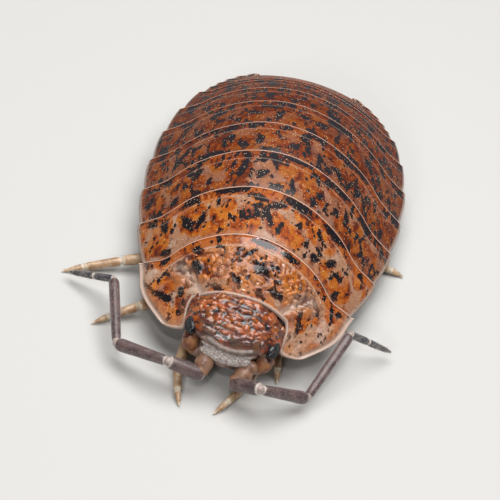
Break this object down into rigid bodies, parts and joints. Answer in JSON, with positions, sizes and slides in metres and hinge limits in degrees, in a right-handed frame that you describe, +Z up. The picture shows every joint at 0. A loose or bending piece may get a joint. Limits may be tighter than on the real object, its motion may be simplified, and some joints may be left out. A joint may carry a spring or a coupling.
{
  "type": "woodlouse",
  "caption": "Life-size still model of a pill woodlouse: domed shell of overlapping plates, head with eyes and bent feelers, and legs that stand on the floor.",
  "frame": {"origin": "on the floor under the middle of the whole animal, feelers and legs included", "axes": "+Z up; the head faces -Y and the tail +Y; the animal's left side is +X"},
  "size_m": [0.012, 0.0174, 0.0047],
  "materials": {
    "shell": "satin horn-like shell, rust brown with dark and straw mottling",
    "head": "satin, rust brown with dark mottling, warty",
    "eye": "glossy black beads",
    "feeler": "matt purplish brown with fine pale scales",
    "leg": "satin, straw with brown patches",
    "underside": "satin, pale cream"
  },
  "bodies": {
    "root": {"thorax_plate_1": "shell", "thorax_plate_2": "shell", "thorax_plate_3": "shell", "thorax_plate_4": "shell", "thorax_plate_5": "shell", "thorax_plate_6": "shell", "thorax_plate_7": "shell", "abdomen": "shell", "tail_plate": "shell", "tail_limb_left": "shell", "tail_limb_right": "shell", "head": "head", "eye_left": "eye", "eye_right": "eye", "mouthparts": "underside", "gill_plates": "underside", "feeler_left_base": "feeler", "feeler_left_fourth": "feeler", "feeler_left_fifth": "feeler", "feeler_left_lash": "feeler", "feeler_right_base": "feeler", "feeler_right_fourth": "feeler", "feeler_right_fifth": "feeler", "feeler_right_lash": "feeler", "leg_left_1": "leg", "leg_left_2": "leg", "leg_left_3": "leg", "leg_left_4": "leg", "leg_left_5": "leg", "leg_left_6": "leg", "leg_left_7": "leg", "leg_right_1": "leg", "leg_right_2": "leg", "leg_right_3": "leg", "leg_right_4": "leg", "leg_right_5": "leg", "leg_right_6": "leg", "leg_right_7": "leg"}
  },
  "joints": []
}
